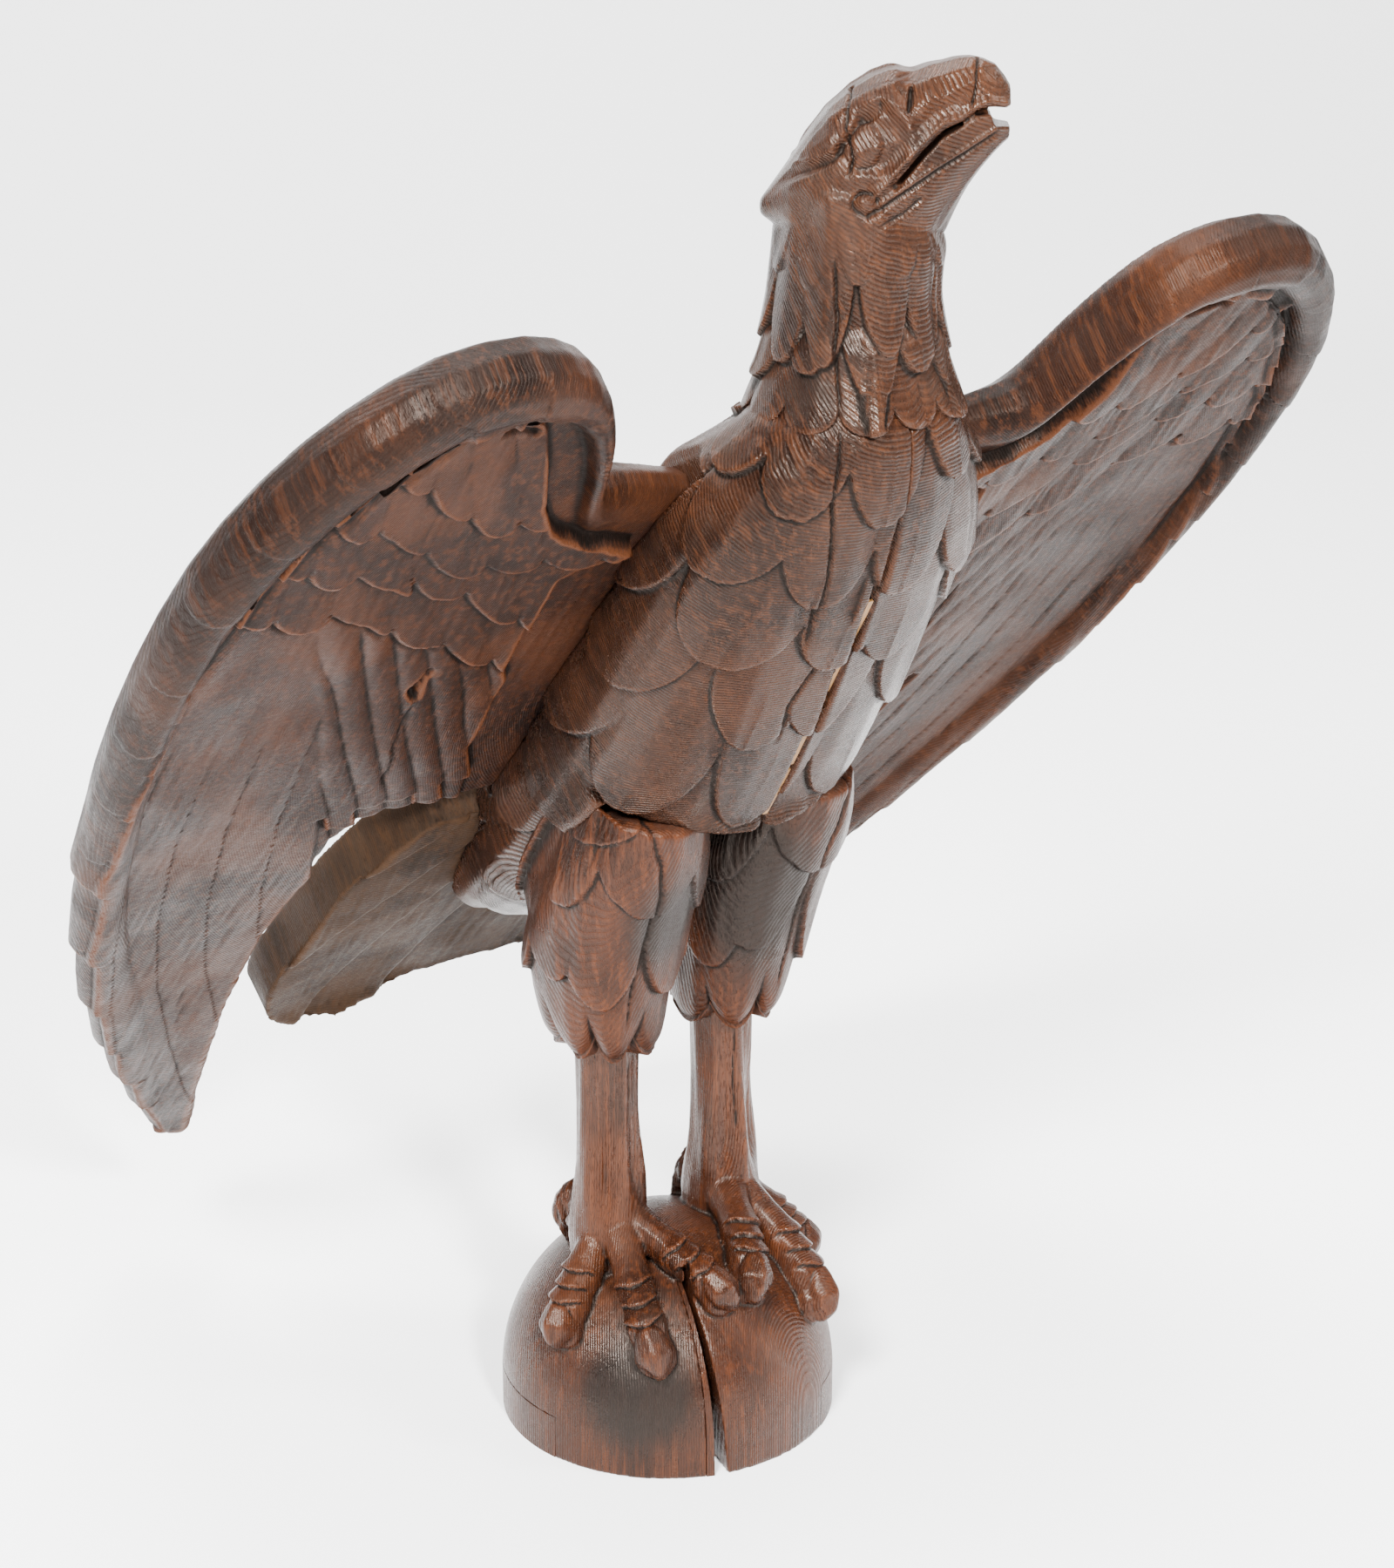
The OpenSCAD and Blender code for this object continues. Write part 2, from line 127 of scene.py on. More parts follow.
def shingle(u, v, seed, length, half, tip, jitter, edge, crown, rows=ANY_ROW):
    """Feathers laid like roof tiles. u runs across and v along, both in feathers, with tips towards larger v.

    length and half are a feather's length and half width, tip the rounded share of its length, edge the width
    of its bevelled rim and crown how much it falls off sideways. Only feathers with their tips in the given
    range of rows are laid. Gives the height between 0 and 1, the top feather's own coordinates across and
    along, and its random value.
    """
    shape = np.shape(u)
    best = np.full(shape, -9.0)
    across, along, tone = np.zeros(shape), np.zeros(shape), np.zeros(shape)
    for dv in (0, 1, 2):
        row = np.floor(v) + dv
        offset = 0.5 * (row % 2)
        for du in (-1, 0, 1):
            col = np.floor(u - offset) + du
            r1, r2, r3 = hash01(col, row, seed), hash01(row, col, seed + 1), hash01(col, row, seed + 2)
            a = (u - col - offset - 0.5 - jitter * (r1 - 0.5) * 2) / (half * (1 + 0.5 * jitter * (r3 - 0.5)))
            b = 1 - (row + jitter * (r2 - 0.5) * 2 - v) / length
            w = np.sqrt(clamp01(1 - (clamp01(b - (1 - tip)) / tip) ** 2))
            rim = np.minimum((w - np.abs(a)) * half, (1 - b) * length)
            h = b - crown * a * a + 0.12 * r3 - 1.6 * (1 - clamp01(rim / edge)) ** 2
            h = np.where((b < 0) | (row < rows[0]) | (row > rows[1]), -9.0, h)
            top = h > best
            best = np.where(top, h, best)
            across, along = np.where(top, a, across), np.where(top, b, along)
            tone = np.where(top, r3, tone)
    return clamp01(best), across, along, tone


# ---------------------------------------------------------------- meshes

def to_slope(p):
    """Across, down the slope and out of it, for points in the frame."""
    y, z = p[:, 1] - SLOPE_ORIGIN[0], p[:, 2] - SLOPE_ORIGIN[1]
    c, s = math.cos(SLOPE), math.sin(SLOPE)
    return p[:, 0], y * c - z * s, y * s + z * c


SLOPE_OUT = np.array([0, math.sin(SLOPE), math.cos(SLOPE)])


SMOOTH_PAIR = (0.6, -0.62)              # steps in and back out again, so that smoothing doesn't shrink
WIDE_ROUNDS = 14                        # rounds of averaging that tell a broad hollow from a fine one


class Blank:
    """A dense, even copy of a CAD node whose surface can be carved."""

    def __init__(self, node, voxel):
        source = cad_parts[node].copy()
        source.data = source.data.copy()
        bpy.context.scene.collection.objects.link(source)
        remesh = source.modifiers.new("even", "REMESH")
        remesh.mode = "VOXEL"
        remesh.voxel_size = voxel * MM
        remesh.adaptivity = 0
        graph = bpy.context.evaluated_depsgraph_get()
        self.mesh = bpy.data.meshes.new_from_object(source.evaluated_get(graph))
        bpy.data.objects.remove(source)
        self.node = node
        count = len(self.mesh.vertices)
        co = np.zeros(count * 3)
        self.mesh.vertices.foreach_get("co", co)
        self.p = co.reshape(-1, 3) / MM
        pairs = np.zeros(len(self.mesh.edges) * 2, np.int64)
        self.mesh.edges.foreach_get("vertices", pairs)
        one, other = pairs.reshape(-1, 2).T
        self.ends = np.concatenate([one, other])
        self.others = np.concatenate([other, one])
        self.degree = np.maximum(np.bincount(self.ends, minlength=count), 1)
        self.first_n = self.normals()

    def spread(self, values):
        """Mean of a value over each vertex's neighbours."""
        if values.ndim == 1:
            return np.bincount(self.ends, values[self.others], len(self.p)) / self.degree
        return np.column_stack([self.spread(values[:, k]) for k in range(values.shape[1])])

    def normals(self):
        self.mesh.vertices.foreach_set("co", (self.p * MM).ravel())
        self.mesh.update()
        out = np.zeros(len(self.p) * 3)
        self.mesh.vertex_normals.foreach_get("vector", out)
        return out.reshape(-1, 3)

    def smooth(self, rounds, hold):
        """Smooths without shrinking; where hold is 1 the surface stays as the CAD has it."""
        free = (1 - hold)[:, None]
        for _ in range(rounds):
            for k in SMOOTH_PAIR:
                self.p = self.p + k * free * (self.spread(self.p) - self.p)

    def bleed(self, values, rounds):
        """Values spread out over neighbouring vertices."""
        for _ in range(rounds):
            values = self.spread(values)
        return values

    def carve(self, height, along=None):
        """Moves the surface out by the height in millimetres, along its normal."""
        self.p = self.p + (self.normals() if along is None else along) * height[:, None]

    def keep(self, name, material, quiet=0.0, burn=0.0):
        """Makes the piece, and stores how hollow, exposed and scorched each place is for its material.

        Where quiet is 1 the first two stay at nothing.
        """
        n = self.normals()
        fine = np.einsum("ij,ij->i", self.spread(self.p) - self.p, n)
        wide = self.p
        for _ in range(WIDE_ROUNDS):
            wide = wide + 0.8 * (self.spread(wide) - wide)
        wide = np.einsum("ij,ij->i", wide - self.p, n)
        for _ in range(2):
            fine = 0.5 * fine + 0.5 * self.spread(fine)
        hollow = clamp01((fine - 0.01) / 0.15) * 0.7 + clamp01((wide - 0.1) / 1.3) * 0.6
        ridge = clamp01((-fine - 0.02) / 0.20) * 0.5 + clamp01((-wide - 0.2) / 1.6) * 0.6
        values = {"hollow": hollow * (1 - quiet), "ridge": ridge * (1 - quiet)}
        values["burn"] = burn + np.zeros(len(n))
        for key, data in values.items():
            layer = self.mesh.attributes.new(key, "FLOAT", "POINT")
            layer.data.foreach_set("value", clamp01(data).astype(np.float32))
        self.mesh.polygons.foreach_set("use_smooth", np.ones(len(self.mesh.polygons), bool))
        self.mesh.materials.clear()
        self.mesh.materials.append(material)
        piece = bpy.data.objects.new(name, self.mesh)
        bpy.context.scene.collection.objects.link(piece)
        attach(piece, "root")
        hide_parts(self.node)
        return piece


# ---------------------------------------------------------------- materials

class Nodes:
    """Short way to build a shader out of nodes."""

    def __init__(self, name):
        self.material = bpy.data.materials.new(name)
        self.material.use_nodes = True
        self.tree = self.material.node_tree
        self.shader = next(n for n in self.tree.nodes if n.type == "BSDF_PRINCIPLED")

    def new(self, kind, values=None, **settings):
        node = self.tree.nodes.new(kind)
        for key, value in settings.items():
            setattr(node, key, value)
        for key, value in (values or {}).items():
            self.feed(node.inputs[key], value)
        return node

    def feed(self, socket, value):
        if isinstance(value, bpy.types.NodeSocket):
            self.tree.links.new(value, socket)
        else:
            socket.default_value = value

    def math(self, operation, a, b=0.0, c=0.0, clamp=False):
        return self.new("ShaderNodeMath", {0: a, 1: b, 2: c}, operation=operation, use_clamp=clamp).outputs[0]

    def mix(self, factor, a, b):
        node = self.new("ShaderNodeMix", data_type="RGBA", clamp_factor=True)
        self.feed(node.inputs[0], factor)
        for socket, value in ((node.inputs[6], a), (node.inputs[7], b)):
            self.feed(socket, value if isinstance(value, bpy.types.NodeSocket) else (*value, 1.0))
        return node.outputs[2]

    def span(self, value, lo, hi):
        """Rescales a value smoothly from lo..hi to 0..1."""
        node = self.new("ShaderNodeMapRange", {0: value, 1: lo, 2: hi})
        node.interpolation_type = "SMOOTHSTEP"
        return node.outputs[0]

    def noise(self, vector, scale, detail=2.0, rough=0.5):
        values = {"Vector": vector, "Scale": scale, "Detail": detail, "Roughness": rough}
        return self.new("ShaderNodeTexNoise", values).outputs[0]

    def stretched(self, vector, scale):
        return self.new("ShaderNodeMapping", {"Vector": vector, "Scale": scale}).outputs[0]

    def attribute(self, name):
        return self.new("ShaderNodeAttribute", attribute_name=name).outputs["Fac"]


RING_WIDTH = 0.0013
GRAIN_RELIEF = 0.0007
VARNISH_TINT = (1.0, 0.84, 0.73, 1.0)
SCORCHED = (0.0040, 0.0032, 0.0029)


def darker(colour, share):
    return [share * c for c in colour]


def brighter(colour, share):
    return [min(1, share * c) for c in colour]


def oak(name, grain, pith, dark, mid, warm, dust, gloss, figure, edge_wear_and_highlight=0.35, dusty=0.15, shine=0.17):
    """Old stained oak.

    grain is the rotation that lays the wood's length along Z and pith the middle of its rings. gloss sets the
    roughness, figure the strength of rings and rays, edge_wear_and_highlight how far raised edges are rubbed
    to the warm colour, which partly paints highlights on them, dusty how much dust lies on upper faces and
    shine the level of the reflections.
    """
    t = Nodes(name)
    place = t.new("ShaderNodeTexCoord").outputs["Object"]
    turned = t.new("ShaderNodeMapping", {"Vector": place, "Rotation": grain}, vector_type="TEXTURE")
    centred = {0: turned.outputs[0], 1: (*pith, 0)}
    off = t.new("ShaderNodeVectorMath", centred, operation="SUBTRACT").outputs[0]
    warp = t.noise(t.stretched(off, (14, 14, 2.5)), 1.0, 2.0)
    axes = t.new("ShaderNodeSeparateXYZ", {0: off})
    x, y, z = axes.outputs
    radius = t.math("SQRT", t.math("ADD", t.math("MULTIPLY", x, x), t.math("MULTIPLY", y, y)))
    bent = t.math("MULTIPLY_ADD", warp, 0.008, radius)
    rings = t.math("FRACT", t.math("DIVIDE", bent, RING_WIDTH))
    early = t.math("MULTIPLY", t.span(rings, 0.0, 0.12), t.span(rings, 0.75, 0.3))
    polar = t.new("ShaderNodeCombineXYZ", {0: t.math("ARCTAN2", y, x), 1: bent, 2: z}).outputs[0]
    rays = t.span(t.noise(t.stretched(polar, (260, 34, 120)), 1.0, 2.0, 0.6), 0.60, 0.72)
    pores = t.span(t.noise(t.stretched(off, (2600, 2600, 190)), 1.0, 1.0), 0.58, 0.70)
    streak = t.noise(t.stretched(off, (300, 300, 16)), 1.0, 3.0, 0.62)
    cloud = t.noise(t.stretched(off, (22, 22, 9)), 1.0, 3.0, 0.55)
    patch = t.noise(place, 13.0, 2.0, 0.5)
    fine = t.noise(place, 420.0, 3.0, 0.6)
    hollow, ridge = t.attribute("hollow"), t.attribute("ridge")

    colour = t.mix(t.span(cloud, 0.30, 0.62), dark, mid)
    colour = t.mix(t.math("MULTIPLY", t.span(streak, 0.47, 0.66), 0.62), colour, warm)
    colour = t.mix(t.math("MULTIPLY", t.span(patch, 0.50, 0.66), 0.45), colour, warm)
    colour = t.mix(t.math("MULTIPLY", early, 0.75 * figure), colour, darker(dark, 0.30))
    colour = t.mix(t.math("MULTIPLY", rays, 0.4 * figure), colour, brighter(warm, 1.5))
    colour = t.mix(t.math("MULTIPLY", pores, 0.5), colour, darker(dark, 0.25))
    # painted highlight: raised edges lightened to the warm colour, partly rubbed wear and partly the light
    # they catch
    worn_and_lit = t.span(t.math("MULTIPLY_ADD", fine, 0.35, ridge), 0.40, 1.0)
    colour = t.mix(t.math("MULTIPLY", worn_and_lit, edge_wear_and_highlight), colour, brighter(warm, 1.15))
    normal = t.new("ShaderNodeNewGeometry").outputs["Normal"]
    up = t.new("ShaderNodeSeparateXYZ", {0: normal}).outputs[2]
    film = t.math("MULTIPLY", t.span(up, -0.2, 0.8), t.span(t.noise(place, 31.0, 4.0, 0.6), 0.40, 0.66))
    colour = t.mix(t.math("MULTIPLY", film, dusty), colour, dust)
    scorch = t.span(t.math("MULTIPLY_ADD", cloud, 0.35, t.attribute("burn")), 0.30, 0.90)
    colour = t.mix(t.math("MULTIPLY", scorch, 0.92), colour, SCORCHED)
    # painted shade: hollows darkened towards the dark colour, partly grime in the creases and partly the
    # shade that falls there
    grime_and_shade = t.span(t.math("MULTIPLY_ADD", patch, 0.20, hollow), 0.20, 0.85)
    colour = t.mix(t.math("MULTIPLY", grime_and_shade, 0.93), colour, darker(dark, 0.15))
    t.feed(t.shader.inputs["Base Color"], colour)

    rough = t.math("MULTIPLY_ADD", fine, 0.30, gloss - 0.22)
    rough = t.math("MULTIPLY_ADD", t.span(t.noise(place, 24.0, 2.0, 0.5), 0.35, 0.65), 0.14, rough)
    rough = t.math("MULTIPLY_ADD", hollow, 0.25, rough)
    rough = t.math("MULTIPLY_ADD", film, 0.08, rough, clamp=True)
    t.feed(t.shader.inputs["Roughness"], rough)
    t.shader.inputs["Specular IOR Level"].default_value = shine
    t.shader.inputs["Specular Tint"].default_value = VARNISH_TINT
    relief = t.math("MULTIPLY", early, -1.0 * figure)
    relief = t.math("MULTIPLY_ADD", pores, -0.5, relief)
    relief = t.math("MULTIPLY_ADD", fine, 0.45, relief)
    relief = t.math("MULTIPLY_ADD", streak, 0.4, relief)
    bump = t.new("ShaderNodeBump", {"Height": relief, "Strength": 0.8, "Distance": GRAIN_RELIEF})
    t.feed(t.shader.inputs["Normal"], bump.outputs[0])
    return t.material


def plain(name, colour, rough, metal=0.0, scale=300.0):
    """Even material with a fine mottle, for floor, iron and small wooden parts."""
    t = Nodes(name)
    place = t.new("ShaderNodeTexCoord").outputs["Object"]
    grain = t.noise(t.stretched(place, (1, 1, 0.35)), scale, 3.0, 0.6)
    t.feed(t.shader.inputs["Base Color"], t.mix(t.span(grain, 0.3, 0.7), colour, darker(colour, 0.72)))
    t.feed(t.shader.inputs["Roughness"], rough)
    t.shader.inputs["Metallic"].default_value = metal
    bump = t.new("ShaderNodeBump", {"Height": grain, "Strength": 0.2, "Distance": 0.0003})
    t.feed(t.shader.inputs["Normal"], bump.outputs[0])
    return t.material


# Colours are scene-linear
RED_OAK = dict(dark=(0.0088, 0.0026, 0.0012), mid=(0.0272, 0.0076, 0.0030),
               warm=(0.0578, 0.0156, 0.0048), dust=(0.0462, 0.0272, 0.0177))
BROWN_OAK = dict(dark=(0.0068, 0.0027, 0.0017), mid=(0.0211, 0.0082, 0.0044),
                 warm=(0.0435, 0.0150, 0.0063), dust=(0.0449, 0.0306, 0.0224))
WING_OAK = dict(dark=(0.0046, 0.0018, 0.0012), mid=(0.0115, 0.0042, 0.0024),
                warm=(0.0440, 0.0140, 0.0052), dust=(0.0280, 0.0200, 0.0155))
GREY_OAK = dict(dark=(0.0088, 0.0049, 0.0031), mid=(0.0245, 0.0139, 0.0085),
                warm=(0.0354, 0.0167, 0.0075), dust=(0.0381, 0.0279, 0.0204))

ALONG_SLOPE = (SLOPE - math.pi / 2, 0, 0)
UPRIGHT = (0, 0, 0)
BODY_PITH = (0.010, -0.175)

m_body = oak("oak_body", ALONG_SLOPE, BODY_PITH, gloss=0.25, figure=0.6, shine=0.13, **BROWN_OAK)
m_head = oak("oak_head", ALONG_SLOPE, BODY_PITH, gloss=0.26, figure=0.5, **BROWN_OAK)
m_thigh = oak("oak_thigh", UPRIGHT, (0.15, 0.12), gloss=0.34, figure=0.35, **RED_OAK)
m_wing = oak("oak_wing", ALONG_SLOPE, (0.03, -0.30), gloss=0.40, figure=0.18, edge_wear_and_highlight=0.9, dusty=0.10,
             shine=0.08, **WING_OAK)
m_tail = oak("oak_tail", ALONG_SLOPE, (0.0, -0.40), gloss=0.54, figure=0.12, dusty=0.4,
             shine=0.06, **GREY_OAK)
m_orb = oak("oak_orb", UPRIGHT, (0.045, -0.115), gloss=0.27, figure=0.35, dusty=0.1, shine=0.22, **RED_OAK)
m_pale = plain("oak_pale", (0.16, 0.075, 0.018), 0.55)
m_dowel = plain("oak_dowel", (0.07, 0.03, 0.011), 0.6)
m_iron = plain("iron", (0.07, 0.065, 0.06), 0.5, metal=0.9)


# ---------------------------------------------------------------- trunk

# Middle of neck and body, as Y and Z
AXIS = np.array([[-150, 760], [-150, 690], [-150, 640], [-149, 600], [-138, 562], [-120, 530], [-92, 490],
                 [-56, 436], [-12, 384], [31, 339], [78, 299], [122, 262], [170, 222]], float)
AXIS_STEPS = 12
FEATHER_TURN, FEATHER_RUN = 42.0, 43.0  # a body feather's spacing round the body and down it
NECK_END_TURN = 34.0                    # the same round the neck's foot


def axis_curve():
    """Smooth curve through the points of the axis."""
    out = []
    for i in range(1, len(AXIS) - 2):
        a, b, c, d = AXIS[i - 1:i + 3]
        for k in range(AXIS_STEPS):
            t = k / AXIS_STEPS
            square, cube = 2 * a - 5 * b + 4 * c - d, 3 * b + d - a - 3 * c
            out.append(0.5 * (2 * b + (c - a) * t + square * t * t + cube * t ** 3))
    return np.array(out)


CURVE = axis_curve()
RUN = np.concatenate([[0], np.cumsum(np.linalg.norm(np.diff(CURVE, axis=0), axis=1))])
TANGENT = np.gradient(CURVE, axis=0)
TANGENT /= np.linalg.norm(TANGENT, axis=1)[:, None]


def body_place(p):
    """Distance down the neck and body, and turn round them in degrees from the breast's middle line."""
    yz = p[:, 1:]
    near = np.zeros(len(p), int)
    best = np.full(len(p), 1e12)
    for k, c in enumerate(CURVE):
        d = ((yz - c) ** 2).sum(1)
        near = np.where(d < best, k, near)
        best = np.minimum(d, best)
    rel = yz - CURVE[near]
    t = TANGENT[near]
    s = RUN[near] + (rel * t).sum(1)
    front = -(rel[:, 0] * -t[:, 1] + rel[:, 1] * t[:, 0])
    return s, np.degrees(np.arctan2(p[:, 0], front))


def body_feathers(b):
    """Lift of the body's feathers over a blank's points, and those points' places on the body."""
    s, turn = body_place(b.p)
    u = turn / FEATHER_TURN + 0.35 + 0.10 * noise(b.p, 80, 4)
    v = s / FEATHER_RUN + 0.03 - 0.003 * np.maximum(s - 220, 0) + 0.16 * noise(b.p, 75, 5)
    h, across, along, tone = shingle(u, v, 11, length=1.75, half=0.63, tip=0.72, jitter=0.18, edge=0.03,
                                     crown=0.30)
    quill = bell(across, 0.1 * (tone - 0.5), 0.035) * step(0.45, 0.7, along)
    shallow = 1 - 0.25 * step(290, 400, s)
    return (7.0 * h - 3.6 + 0.35 * quill) * shallow, s, turn


def in_plane(normal, where, axis):
    """Normals that stay within a joint's plane near that joint."""
    out = normal - where[:, None] * (normal @ axis)[:, None] * axis
    return out / np.maximum(np.linalg.norm(out, axis=1), 0.2)[:, None]


X_AXIS, Z_AXIS = np.array([1.0, 0, 0]), np.array([0, 0, 1.0])
# Drying cracks, as 1.2 times the turn and the distance down the body, and as Y and Z
BREAST_CRACKS = ([(-52, 90), (-48, 120), (-38, 150), (-32, 196)], [(-16, 205), (-24, 235), (-20, 262)])
SHOULDER_CRACK = [(-186, 560), (-170, 500), (-150, 470)]


def carve_trunk(side):
    b = Blank("trunk_%s_half" % side, 1.25)
    x, q, h = to_slope(b.p)
    n = b.first_n
    mid = np.abs(x) < 1.6
    top = b.p[:, 2] > 598.0
    under = (h < -73.0) & (n @ SLOPE_OUT < -JOINT_FACE) & (q > 350)
    neck_face = top & (n[:, 2] > JOINT_FACE)
    seam = (mid & (np.abs(n[:, 0]) > JOINT_FACE)) | neck_face | (n @ SLOPE_OUT > SLOPE_FACE) | under
    hold = seam.astype(float)
    b.smooth(90, np.maximum(hold, b.spread(hold)))
    lift, s, turn = body_feathers(b)
    normal = in_plane(in_plane(b.normals(), mid.astype(float), X_AXIS), top.astype(float), Z_AXIS)
    lift -= 1.6 * step(584, 594, b.p[:, 2])
    lift += -3.4 * bell(x, 0, 1.6) * step(125, 150, s) * step(330, 300, s) * (np.abs(turn) < 30)
    for crack in BREAST_CRACKS:
        lift += groove(np.column_stack([1.2 * turn, s]), crack, 0.8, 2.4)
    lift += groove(b.p[:, 1:] + 0.12 * x[:, None], SHOULDER_CRACK, 0.8, 1.6) * (np.abs(turn + 22) < 14)
    b.carve(lift * (1 - hold), normal)
    # the last feathers hang over the thighs
    share = b.bleed(under.astype(float), 26)
    swing = np.abs(np.sin((q + 0.9 * np.abs(x)) / 34.0 * math.pi / 2 + 0.6))
    b.p -= SLOPE_OUT * (4 * share * (1 - share) * (5.0 + 9.0 * swing))[:, None]
    return b.keep("trunk_%s_carved" % side, m_body, quiet=b.bleed(hold, 3) * top)


for side in ("right", "left"):
    carve_trunk(side)


# ---------------------------------------------------------------- thighs

THIGH_FEATHER_TURN, THIGH_FEATHER_RUN = 52.0, 48.0
THIGH_CRACK = [(18, 380), (8, 330), (14, 240)]      # turn on the left thigh, and height
# scorch marks; the left thigh's wide patch darkens its whole front, partly a scorch and partly painted shadow
# cast by the body above
THIGH_SCORCH_AND_SHADOW = {"right": ((-40, -50, 322), 25), "left": ((24, -46, 312), 38)}


def carve_thigh(side):
    b = Blank("thigh_" + side, 1.3)
    way = 1 if side == "left" else -1
    h = to_slope(b.p)[2]
    out = b.first_n @ SLOPE_OUT
    hold = ((h > -77) & (out > JOINT_FACE)).astype(float)
    foot = b.first_n[:, 2] < -0.8
    b.smooth(80, np.maximum(hold, foot))
    cx, cy = 42 * way, -6
    turn = np.degrees(np.arctan2(b.p[:, 0] - cx, -(b.p[:, 1] - cy)))
    z = b.p[:, 2]
    u = turn / THIGH_FEATHER_TURN + 0.3 * way + 0.1 * noise(b.p, 50, 8)
    v = (404 - z) / THIGH_FEATHER_RUN + 0.12 * noise(b.p, 60, 9)
    height = shingle(u, v, 23 + way, length=1.9, half=0.64, tip=0.62, jitter=0.22, edge=0.035, crown=0.22,
                     rows=(ANY_ROW[0], 3))[0]
    lift = (4.6 * height - 2.2 + 5.0 * bell(z, 325, 55)) * step(-80, -100, h) - 4.0 * step(-112, -80, h)
    lift -= 8.0 * step(-122, -86, h) * step(0.2, 0.8, -b.first_n[:, 1])
    lift += groove(np.column_stack([turn, z]), [(a * way, c) for a, c in THIGH_CRACK], 1.0, 2.2)
    b.carve(lift * (1 - np.maximum(hold, foot)), in_plane(b.normals(), (h > -78).astype(float), SLOPE_OUT))
    b.p += SLOPE_OUT * (16.0 * clamp01(b.bleed(hold, 40) / 0.7 - 0.4))[:, None]
    b.p[:, 1] += 11.0 * step(-114, -82, h) * step(-16, -44, b.p[:, 1])
    tips = np.abs(np.sin(np.radians(turn * 2.9 + 20 * way))) ** 0.7
    b.p[:, 2] += (9.0 - 15.0 * tips) * step(262, 228, z)
    scorched, spread = THIGH_SCORCH_AND_SHADOW[side]
    burn = bell(np.linalg.norm((b.p - scorched) * (1, 1, 0.55), axis=1), 0, spread)
    return b.keep("thigh_%s_carved" % side, m_thigh, burn=burn)


for side in ("right", "left"):
    carve_thigh(side)


# ---------------------------------------------------------------- head and neck

FORWARD = np.array([math.cos(HEAD_TURN - math.pi / 2), math.sin(HEAD_TURN - math.pi / 2), 0])
SIDEWAYS = np.array([-FORWARD[1], FORWARD[0], 0])


def oval_radius(u, z, cu, cz, ru, rz, tilt=0.0):
    """Distance from an oval's middle, 1 on its outline."""
    c, s = math.cos(math.radians(tilt)), math.sin(math.radians(tilt))
    du, dz = u - cu, z - cz
    return np.hypot((du * c + dz * s) / ru, (-du * s + dz * c) / rz)


def rim_line(uz, points, above, under, width, gap):
    """Raised lip along a line with a groove beside it on the lower side."""
    d = line_distance(uz, points)[0]
    us, zs = zip(*points)
    side = np.sign(uz[:, 1] - np.interp(uz[:, 0], us, zs))
    fade = step(us[0] - 4, us[0] + 2, uz[:, 0]) * step(us[-1] + 3, us[-1] - 1, uz[:, 0])
    return fade * (above * bell(d * side, width * 0.6, width) - under * bell(d * side, -gap * 0.6, gap * 0.6))


def head_place(p):
    """Forward, sideways and up from the neck's axis."""
    rel = p - [0, HEAD_AXIS_Y, 0]
    return rel @ FORWARD, rel @ SIDEWAYS, p[:, 2]


# Lines on the side of the head, forward and up
BROW = [(-42, 688), (-36, 696), (-24, 703), (-12, 709), (-6, 718), (0, 726), (9, 731), (17, 728)]
UPPER_LIP = [(6, 690), (13, 697.5), (20, 706), (30, 715.5), (37, 721.5), (45, 723.5), (52, 728), (58, 730),
             (66, 728)]
LOWER_LIP = [(3, 684), (10, 688), (20, 694), (34, 702.5), (48, 709.5), (61, 717)]
MOUTH_SLIT = [(9, 690), (20, 700.5), (29, 710), (37, 717), (45, 721), (53, 725.5)]
CHEEK_FOLDS = ([(8, 678), (20, 683), (30, 692)], [(-30, 704), (-20, 708), (-12, 713)])
GLUE_LINE = [(-1, 741), (-4, 730), (-6, 720), (-3, 708), (-6, 699)]
BEAK_CRACK = [(54, 752), (52, 740), (50, 728)]
BACK_NECK_CRACK = [(-11, 668), (-9, 640), (-10, 618), (-7, 596)]
FRONT_NECK_CRACK = [(33, 668), (33, 640), (34, 612)]
# Soft lumps behind the gape: middle, half sizes, tilt and rise
EAR_LUMPS = [(-14, 689, 9.5, 7.0, 35, 2.2), (-25, 695, 8.0, 6.5, 20, 1.3), (-7, 700, 6.0, 5.0, 0, 0.9)]
# Long neck feathers: spacing round the neck and down it, and the turn of the middle one
LONG_TURN, LONG_RUN, LONG_MIDDLE = 37, 35, -56


